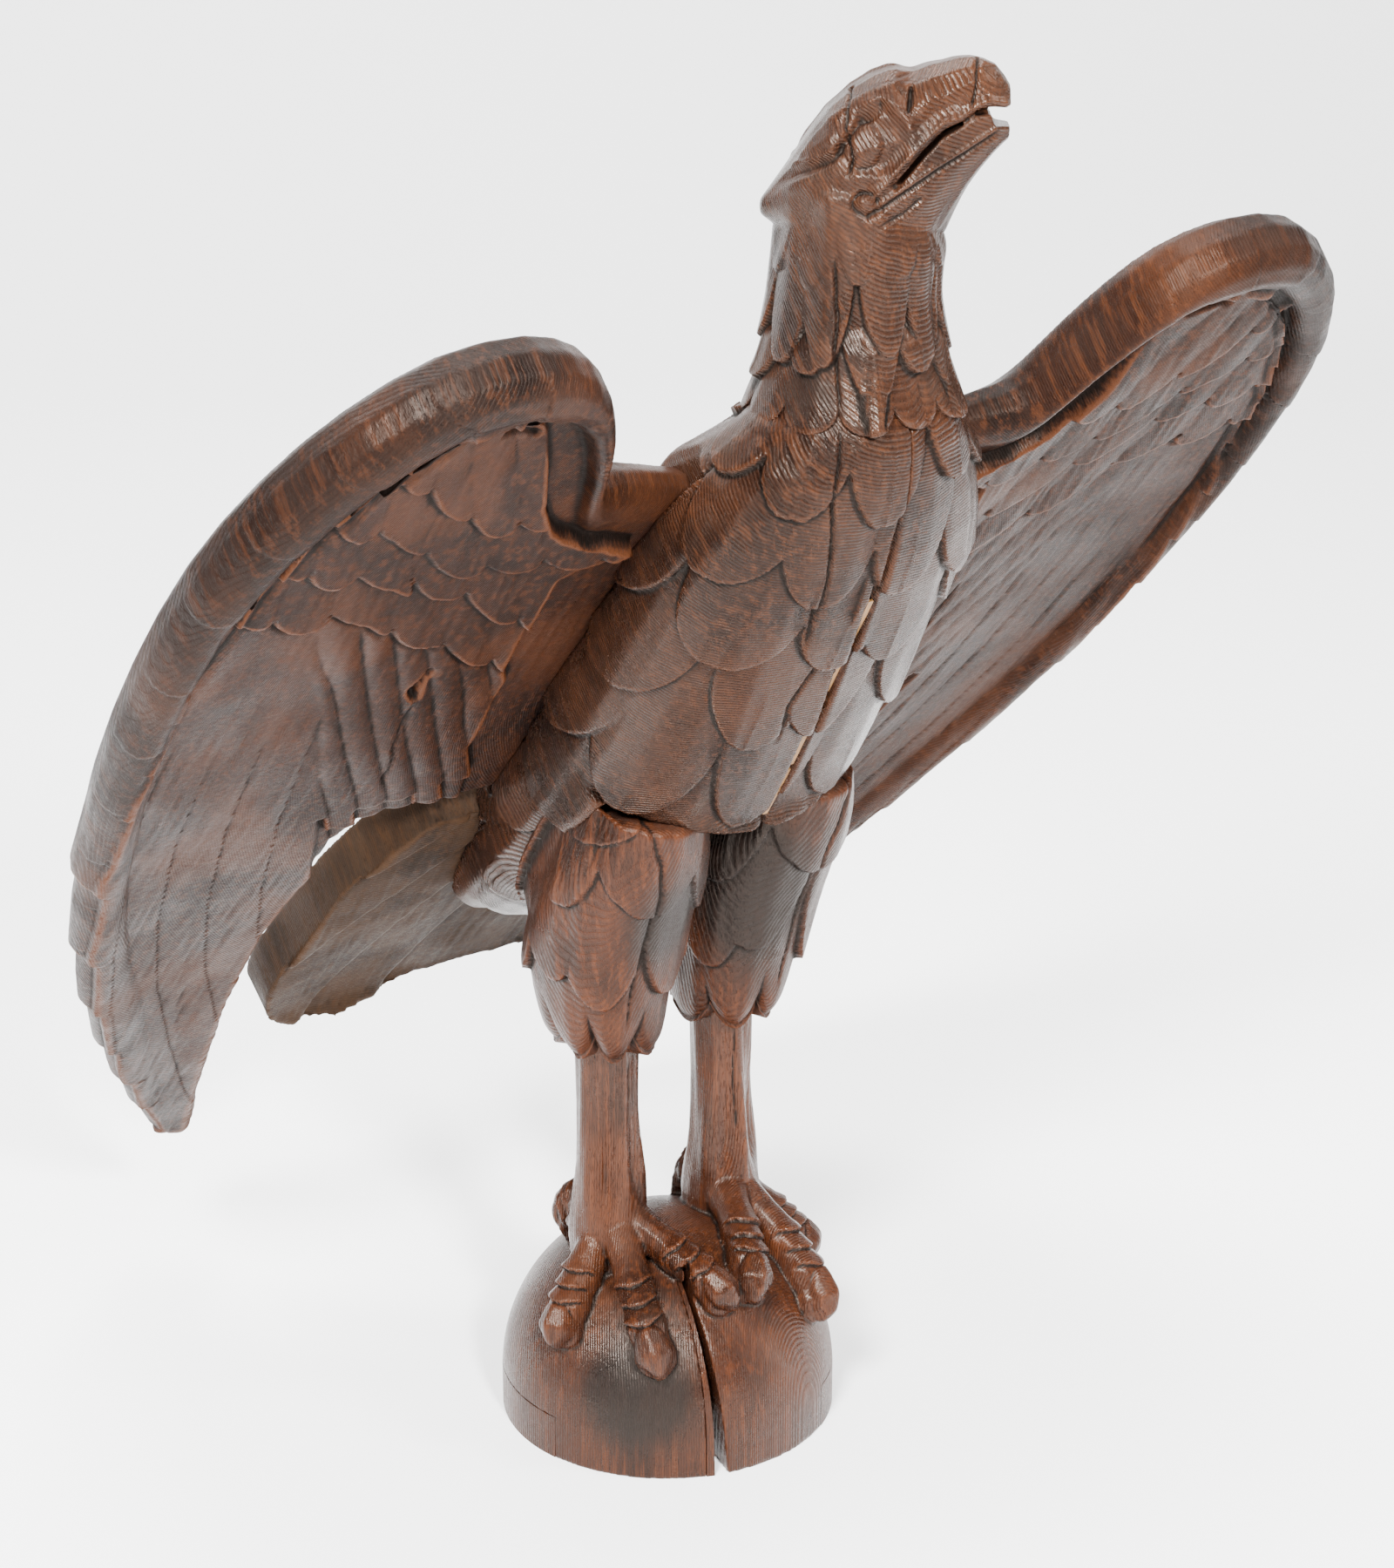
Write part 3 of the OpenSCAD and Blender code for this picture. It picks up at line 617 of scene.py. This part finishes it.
def carve_head():
    b = Blank("head_and_neck", 0.9)
    base = (b.p[:, 2] < 602)
    hold = (base & (b.first_n[:, 2] < -JOINT_FACE)).astype(float)
    u, w, z = head_place(b.p)
    beak = step(20, 34, u) * (z > 690)
    b.smooth(60, np.maximum(hold, 0.75 * beak))
    u, w, z = head_place(b.p)
    uz = np.column_stack([u, z])
    normal = b.normals()
    flank = step(0.15, 0.5, np.abs(normal @ SIDEWAYS))
    lift = np.zeros(len(u))

    height = z - np.interp(u, *zip(*BROW))
    cap = step(-0.3, 2.4, height) * step(24, 12, u)
    lift += flank * (2.2 * cap - 1.9 * bell(height, -1.8, 2.2) * step(20, 8, u) * step(-44, -38, u))
    eye = oval_radius(u, z, 1, 714.5, 9.5, 10.0, 12)
    orbit = oval_radius(u, z, 5, 715, 17, 14, 10)
    lift += flank * (-2.2 * step(1.1, 0.6, orbit) + 1.9 * np.sqrt(clamp01(1 - eye ** 2))
                     - 0.4 * bell(eye, 1.12, 0.16))
    lift += flank * 0.8 * bell(orbit, 1.1, 0.14) * step(0, 8, u)
    nostril = oval_radius(u, z, 22.5, 733, 1.5, 6.0, -8)
    lift += flank * (1.2 * bell(oval_radius(u, z, 28, 735, 7, 9), 0, 0.8) - 3.0 * step(1.2, 0.6, nostril))
    lift += normal[:, 2] * step(725, 735, z) * (2.6 * bell(u, 44, 13) - 1.8 * bell(u, 24, 5))
    lift += flank * rim_line(uz, UPPER_LIP, 1.6, 0.0, width=1.5, gap=2.6)
    lift += flank * rim_line(uz, LOWER_LIP, 1.2, 1.6, width=1.3, gap=2.2)
    over_lip = line_distance(uz, [(a - 3, c + 6.5) for a, c in UPPER_LIP[:6]])[0]
    lift += flank * -0.7 * bell(over_lip, 0, 1.8)
    inside = step(5.5, 4.0, line_distance(uz, MOUTH_SLIT)[0]) * step(10, 7, np.abs(w))
    lift += 3.6 * inside * (np.abs(normal @ SIDEWAYS) < 0.6)
    gape = oval_radius(u, z, 2.5, 689, 4.0, 3.4)
    lift += flank * (1.6 * step(1.1, 0.4, gape) - 1.3 * bell(gape, 1.4, 0.25))
    for cu, cz, ru, rz, tilt, rise in EAR_LUMPS:
        lift += flank * rise * bell(oval_radius(u, z, cu, cz, ru, rz, tilt), 0, 0.85)
    lift += flank * -1.5 * bell(oval_radius(u, z, 14, 703, 9, 8), 0, 1)
    for seed, fold in enumerate(CHEEK_FOLDS):
        lift += flank * groove(uz, fold, 1.3, 1.2, seed=seed)
    lift += groove(uz, GLUE_LINE, 0.75, 2.6, 1.0, 7) * (w < 0)
    lift += groove(uz, BEAK_CRACK, 0.6, 1.8, 0.8, 9) * (w < 0)
    lift += groove(uz, BACK_NECK_CRACK, 0.7, 2.4, 0.8, 12) * (w < 0)
    lift += groove(uz, FRONT_NECK_CRACK, 0.7, 2.0, 0.6, 14) * (w < 5)

    lift += 3.2 * bell(z, 664, 15) * step(10, 26, u)
    feather, s, turn = body_feathers(b)
    sway = 0.06 * noise(b.p, 30, 6)
    from_middle = turn - LONG_MIDDLE
    lift += 0.9 * np.cos(np.radians(from_middle) * 360 / LONG_TURN) * bell(z, 672, 16)
    long_one = np.zeros(len(u))
    for row, share in ((2, 1.0), (1, 0.62)):
        tier = shingle(from_middle / LONG_TURN + 0.5 + sway, (s - 72) / LONG_RUN + 2, 61, length=2.1,
                       half=0.6, tip=0.85, jitter=0.12, edge=0.04, crown=0.42, rows=(row, row))[0]
        long_one = np.maximum(long_one, share * tier)
    feather = np.maximum(feather - 5 * step(70, 52, s), 5.4 * long_one - np.where(long_one > 0.01, 1.8, 3.0))
    lift += feather * step(692, 652, z) + 0.6 * step(612, 603, z)
    b.carve(lift * (1 - hold), in_plane(normal, base.astype(float), Z_AXIS))
    # the lowest feathers of the neck run on over the trunk in rounded ends
    around = (turn / NECK_END_TURN + 0.35) % 1.0 * 2 - 1
    outward = np.column_stack([b.p[:, 0], b.p[:, 1] - HEAD_AXIS_Y, np.zeros(len(u))])
    rho = np.linalg.norm(outward, axis=1)
    rounded = np.sqrt(clamp01(1 - around ** 2))
    reach = step(604, 600.6, b.p[:, 2]) * step(33, 38, rho) * (2.0 + 12.0 * rounded)
    b.p += reach[:, None] * (0.42 * outward / np.maximum(rho, 1)[:, None] - Z_AXIS)
    return b.keep("head_and_neck_carved", m_head, quiet=b.bleed(hold, 3))


carve_head()


# ---------------------------------------------------------------- wings

# Outline of the leading edge and the ends of the two rows of coverts, across and down the slope
LEAD = [(62, 186), (94, 174), (124, 162), (134, 146), (143, 117), (155, 89), (172, 67), (202, 54), (241, 59),
        (277, 88), (304, 130), (322, 186), (328, 260), (324, 342), (311, 428), (289, 512), (260, 592),
        (222, 674), (188, 738), (162, 786)]
FIRST_ROW = [(100, 214), (120, 212), (165, 207), (190, 202), (205, 192), (222, 178), (240, 160), (262, 152),
             (285, 140), (300, 128), (330, 110)]
SECOND_ROW = [(100, 306), (118, 302), (130, 297), (150, 287), (165, 275), (180, 264), (198, 258), (212, 248),
              (225, 234), (245, 224), (262, 222), (282, 214), (300, 206), (335, 200)]
# Where the outer feathers' ends step back, down the slope
NOTCHES = [434, 515, 582, 640, 690, 735]
# How close to the body the carving reaches, at each place down the slope
ROOT_AT = ([180, 205, 225, 300, 312, 372, 398, 430], [40, 90, 125, 124, 118, 117, 106, 100])
# Width of the rolled front edge along its run
ROLL_AT = ([0, 330, 430, 520, 640, 900], [33, 30, 24, 15, 8, 5])
WRIST_CUT = [(212, 95), (203, 95), (194, 98), (186, 104)]
PLATE_CRACK = [(170, 318), (168, 350), (160, 395)]
FLUTE_WIDTH, PRIMARY_WIDTH = 17.0, 27.0
COVERT_SCALLOP, COVERT_REACH = 9.0, 44.0


def covert_row(ax, q, c, row, width, seed):
    """Lift of one row of coverts whose rounded ends follow a line, thickest there, and where the row lies."""
    u = c / width + 0.3 * seed
    col = np.floor(u)
    a = (u - col) * 2 - 1
    r = hash01(col, np.full(len(col), seed))
    rounded = np.sqrt(clamp01(1 - a * a))
    end = np.interp(ax, *zip(*row)) + COVERT_SCALLOP * (rounded - 0.6) + 7 * (r - 0.5)
    inside = end - q
    edge = step(-0.6, 1.2, inside)
    body = 4.2 - 3.0 * clamp01(inside / COVERT_REACH) - 1.5 * a * a + 0.8 * (r - 0.5)
    return edge * body - 1.2 * bell(inside, -1.6, 1.4), edge


def carve_wing(side):
    b = Blank("wing_" + side, 1.35)
    seed = 31 if side == "right" else 47
    hold = (b.first_n @ SLOPE_OUT > SLOPE_FACE).astype(float)
    b.smooth(60, hold)
    x, q, h = to_slope(b.p)
    ax = np.abs(x)
    flat = np.column_stack([ax, q])
    normal = b.normals()
    under = step(0.25, -0.35, normal @ SLOPE_OUT)
    d, run = line_distance(flat, LEAD)
    sway = 4 * noise(b.p, 60, seed)
    lean = 0.34 * step(290, 215, ax) + 0.06
    c = ax + lean * (q - 200) + 0.4 * sway

    wrist = step(150, 210, run) * step(640, 560, run)
    broad = np.interp(run, *ROLL_AT)
    roll = step(broad, broad - 3, d + 3 * ((run / 41.0) % 1.0) * wrist)
    lift = 1.4 * wrist * bell(d, 0.6 * broad, 6.0) * roll
    ends = (run / 52.0 + 0.010 * d) % 1.0
    lift += roll * (0.9 * ends - 0.4) * step(120, 190, run) * step(900, 700, run)

    plate = 1 - roll
    first, on_first = covert_row(ax, q, c, FIRST_ROW, 31.0, seed)
    small, on_small = covert_row(ax, q + 34, c + 9, FIRST_ROW, 24.0, seed + 2)
    second, on_second = covert_row(ax, q, c, SECOND_ROW, 27.0, seed + 1)
    middle, on_middle = covert_row(ax, q + 36, c + 11, SECOND_ROW, 29.0, seed + 3)
    first = np.where(on_small > 0.5, 1.4 + small, first)
    second = np.where(on_middle > 0.5, 1.4 + middle, second)
    lower = 1 - on_second
    inner = step(2, -4, c - (262 + 0.10 * (q - 270)))
    flute = (c / FLUTE_WIDTH + 0.25 * np.sin(q / 60.0)) % 1.0
    tips = 408 + 9 * np.sin(np.floor(c / FLUTE_WIDTH) * 2.2) + 12 * step(110, 180, ax)
    deep = 1.7 if side == "right" else 0.7
    seconds = inner * (deep * (1 - (2 * flute - 1) ** 2) - 4.5 * step(-1, 3, q - tips))
    primary = ((d + 0.06 * (q - 300)) / PRIMARY_WIDTH) % 1.0
    firsts = (1 - inner) * (1.1 * primary - 0.6 * step(0.85, 1.0, primary)) * step(250, 400, q)
    layered = np.where(on_first > 0.5, 2.2 + first, second) + lower * (seconds + firsts)
    on_board = step(0, 2.5, ax - np.interp(q, *ROOT_AT))
    lift += plate * (on_board * (layered + 3.2 + 1.8 * step(200, 130, ax)) - 0.4)
    lift += plate * on_board * -4.5 * bell(np.hypot((ax - 176) / 24, (q - 112) / 26), 0, 1)
    lift += groove(flat, WRIST_CUT, 2.2, 4.0, 0.5, seed)
    knot = np.hypot((ax - 171 + 2 * np.sin(q / 5)) / 3.6, (q - 304) / 13.0)
    lift += -8.0 * step(1.15, 0.55, knot) if side == "right" else 0
    lift += 0.4 * noise(np.column_stack([2.5 * x, 0.3 * q, h]), 7, seed + 5) * plate
    lift += groove(flat, PLATE_CRACK, 0.8, 1.6, 1.2, seed)
    lift += -2.0 * bell(d - broad, 3.5, 3.0) * wrist * step(230, 270, run) * plate
    b.carve(lift * under * (1 - hold), in_plane(normal, (hold > 0).astype(float), SLOPE_OUT))

    # the outer feathers' ends step back one after the other along the outline
    back = np.zeros(len(q))
    for k, mark in enumerate(NOTCHES):
        last = NOTCHES[k - 1] if k else 170
        left = clamp01((mark - q) / min(mark - last, 80))
        back += np.where((q > last) & (q <= mark), 4.4 * left - 2.2, 0)
    b.p -= X_AXIS * (np.sign(x.mean()) * back * step(16, 4, d) * step(360, 400, q))[:, None]
    return b.keep("wing_%s_carved" % side, m_wing, burn=0.42 * roll * wrist)


for side in ("right", "left"):
    carve_wing(side)


# ---------------------------------------------------------------- tail

LEAF_TURN = 13.0                        # a tail feather's spacing in the fan
FAN_CENTRE = 385                        # where the fan's lines meet, down the slope


def carve_tail():
    b = Blank("tail", 1.35)
    hold = (b.first_n @ SLOPE_OUT > SLOPE_FACE).astype(float)
    b.smooth(50, hold)
    x, q, h = to_slope(b.p)
    normal = b.normals()
    under = step(-0.2, -0.6, normal @ SLOPE_OUT)
    turn = np.degrees(np.arctan2(np.abs(x), q - FAN_CENTRE)) + 1.2 * noise(b.p, 50, 3)
    leaf = (turn / LEAF_TURN + 0.15) % 1.0
    row = np.floor(turn / LEAF_TURN + 0.15)
    lift = 5.4 * (1 - leaf) ** 0.8 - 2.6 - 1.4 * bell(leaf, 1.0, 0.06) - 1.4 * bell(leaf, 0.0, 0.035)
    lift += 0.35 * noise(np.column_stack([2.5 * x, 0.3 * q, h]), 7, 2)
    b.carve(lift * under * (1 - hold), in_plane(normal, hold, SLOPE_OUT))
    ends = 3.0 * (0.5 - np.abs(leaf - 0.5) * 2) + 2 * (hash01(row, row) - 0.5)
    down = np.array([0, math.cos(SLOPE), -math.sin(SLOPE)])
    b.p += down * (ends * step(628, 655, q + 0.0006 * x * x))[:, None]
    return b.keep("tail_carved", m_tail)


carve_tail()


# ---------------------------------------------------------------- orb, feet and legs

TOE_TIPS = [(8, -73, 92), (57, -73, 65), (86, -17, 68), (47, 44, 118)]
ANKLE = (37, 0, 130)
LEG_Y = 2.0
# Along a toe, 0 at the ankle and 1 at its tip
SCALES_FROM, SCALE_LENGTH = 0.42, 0.11
CLAW_MIDDLE, CLAW_HALF = 0.90, 0.17
TOE_SCORCH = (-60, -58, 46)


def carve_orb():
    b = Blank("orb_and_feet_block", 1.05)
    r = np.linalg.norm(b.p - ORB_CENTRE, axis=1)
    skin = ((r > 91.5) & (b.p[:, 2] < 226)).astype(float)
    b.smooth(26, 1 - b.bleed(skin, 3))
    rel = b.p - ORB_CENTRE
    r = np.linalg.norm(rel, axis=1)
    outward = rel / r[:, None]
    nearest = np.full(len(r), 1e9)
    t_best, y_best = np.zeros(len(r)), np.zeros(len(r))
    for mirror in (1, -1):
        for tip in TOE_TIPS:
            a = np.array([ANKLE[0] * mirror, ANKLE[1], ANKLE[2]]) - ORB_CENTRE
            e = np.array([tip[0] * mirror, tip[1], tip[2]]) - ORB_CENTRE
            a, e = a / np.linalg.norm(a), e / np.linalg.norm(e)
            side = np.cross(a, e)
            side /= np.linalg.norm(side)
            front = np.cross(side, a)
            angle = np.arctan2(outward @ front, outward @ a) / math.acos(a @ e)
            y = rel @ side
            off = np.abs(y) + 200 * np.maximum(angle - 1.12, 0) + 60 * np.maximum(0.12 - angle, 0)
            nearer = off < nearest
            nearest = np.where(nearer, off, nearest)
            t_best, y_best = np.where(nearer, angle, t_best), np.where(nearer, y, y_best)
    toe = step(92.5, 97, r) * step(18, 13, nearest) * step(0.2, 0.32, t_best)
    # three scales lie over each toe like tiles, higher towards the claw
    scale = (t_best + 0.0006 * y_best ** 2 - SCALES_FROM) / SCALE_LENGTH
    tile = scale - np.floor(scale)
    scaled = step(SCALES_FROM, 0.50, t_best) * step(0.77, 0.74, t_best) * step(97, 103, r)
    lift = toe * scaled * (2.6 * tile - 0.9 - 0.7 * bell(tile, 0.02, 0.12))
    claw = np.hypot((t_best - CLAW_MIDDLE) / CLAW_HALF, y_best / 10.0)
    keel = 0.8 * bell(y_best, 0, 1.8) * step(0.9, 0.5, claw)
    claw_lift = 2.6 * np.sqrt(clamp01(1 - claw ** 2)) - 0.6 * bell(claw, 1.0, 0.10) + keel
    lift += toe * step(0.73, 0.77, t_best) * claw_lift
    lift -= toe * 3.6 * step(0.90, 1.06, t_best) * step(1.5, 7, np.abs(y_best))
    z = b.p[:, 2]
    leg = step(118, 150, z) * step(232, 220, z)
    for mirror in (1, -1):
        turn = np.degrees(np.arctan2((b.p[:, 0] - ANKLE[0] * mirror) * mirror, -(b.p[:, 1] - LEG_Y)))
        mine = (b.p[:, 0] * mirror > 0) * leg
        low = step(205, 138, z)
        lift += mine * low * (3.6 * bell(turn, 5, 12) + 3.4 * bell(turn, -58, 14) + 3.0 * bell(turn, 75, 15)
                              - 3.4 * bell(turn, -27, 13) - 3.2 * bell(turn, 40, 14))
        lift += mine * 0.5 * np.sin(turn / 7.0 + 0.04 * z)
        lift += mine * groove(np.column_stack([turn, z]), [(-8, 224), (-12, 190), (-4, 150)], 1.6, 1.2)
    b.carve(lift)
    burn = bell(np.linalg.norm(b.p - TOE_SCORCH, axis=1), 0, 34) * step(95, 91, r)
    return b.keep("orb_and_feet_carved", m_orb, burn=burn)


carve_orb()


# ---------------------------------------------------------------- CAD pieces shown as they are

def finish_of(name):
    if "screw" in name:
        return m_iron
    if "dowel" in name:
        return m_dowel
    if name == "breast_strips":
        return m_pale
    return m_orb if name.startswith("orb") else m_wing


for name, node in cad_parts.items():
    node.data.materials.clear()
    node.data.materials.append(finish_of(name))


# ---------------------------------------------------------------- floor, lights and camera

def paper():
    t = Nodes("paper")
    t.shader.inputs["Base Color"].default_value = (0.94, 0.94, 0.94, 1)
    t.shader.inputs["Roughness"].default_value = 0.75
    return t.material


def sweep():
    """Pale floor that curves up behind the object."""
    flat_end, bend = 2.2, 1.4
    rows = [(-6.0, 0.0), (flat_end, 0.0)]
    for a in np.linspace(0.1, math.pi / 2, 14):
        rows.append((flat_end + bend * math.sin(a), bend - bend * math.cos(a)))
    rows.append((flat_end + bend, 6.0))
    turn = math.radians(35)
    back = Vector((math.sin(turn), math.cos(turn), 0))
    across = Vector((math.cos(turn), -math.sin(turn), 0))
    verts = [tuple(back * d + across * w + Vector((0, 0, z))) for d, z in rows for w in (-7, 7)]
    faces = [(2 * k, 2 * k + 1, 2 * k + 3, 2 * k + 2) for k in range(len(rows) - 1)]
    mesh = bpy.data.meshes.new("sweep")
    mesh.from_pydata(verts, [], faces)
    mesh.polygons.foreach_set("use_smooth", [True] * len(faces))
    floor = bpy.data.objects.new("sweep", mesh)
    bpy.context.scene.collection.objects.link(floor)
    floor.data.materials.append(paper())
    return floor


def area(name, place, aim, size, power):
    light = bpy.data.lights.new(name, "AREA")
    light.shape = "RECTANGLE"
    light.size, light.size_y = size
    light.energy = power
    lamp = bpy.data.objects.new(name, light)
    lamp.location = place
    lamp.rotation_euler = (Vector(aim) - Vector(place)).to_track_quat("-Z", "Y").to_euler()
    bpy.context.scene.collection.objects.link(lamp)


sweep()
middle = (0, 0, 0.38)                   # height of the object's middle
area("key", (-1.8, -1.3, 2.3), middle, (0.7, 0.7), 340)
area("fill", (1.5, -1.9, 2.5), middle, (0.5, 0.8), 70)
area("flash", (-0.7, -2.3, 1.75), (0, -0.1, 0.5), (0.30, 0.30), 240)
area("top", (0.2, 0.4, 2.9), middle, (1.6, 1.6), 165)
area("back", (-0.6, 2.6, 2.6), (0, 1.6, 0.4), (2.4, 1.6), 110)
world = bpy.data.worlds.new("studio")
world.use_nodes = True
world.node_tree.nodes["Background"].inputs[0].default_value = (1, 1, 1, 1)
world.node_tree.nodes["Background"].inputs[1].default_value = 0.38
bpy.context.scene.world = world

lens = bpy.data.cameras.new("camera")
lens.sensor_width = 36
lens.lens = 84.66
camera = bpy.data.objects.new("camera", lens)
camera.location = (-1.0290, -1.4463, 1.022)
camera.rotation_euler = (math.radians(69.44), 0, math.radians(-35.95))
bpy.context.scene.collection.objects.link(camera)
bpy.context.scene.camera = camera
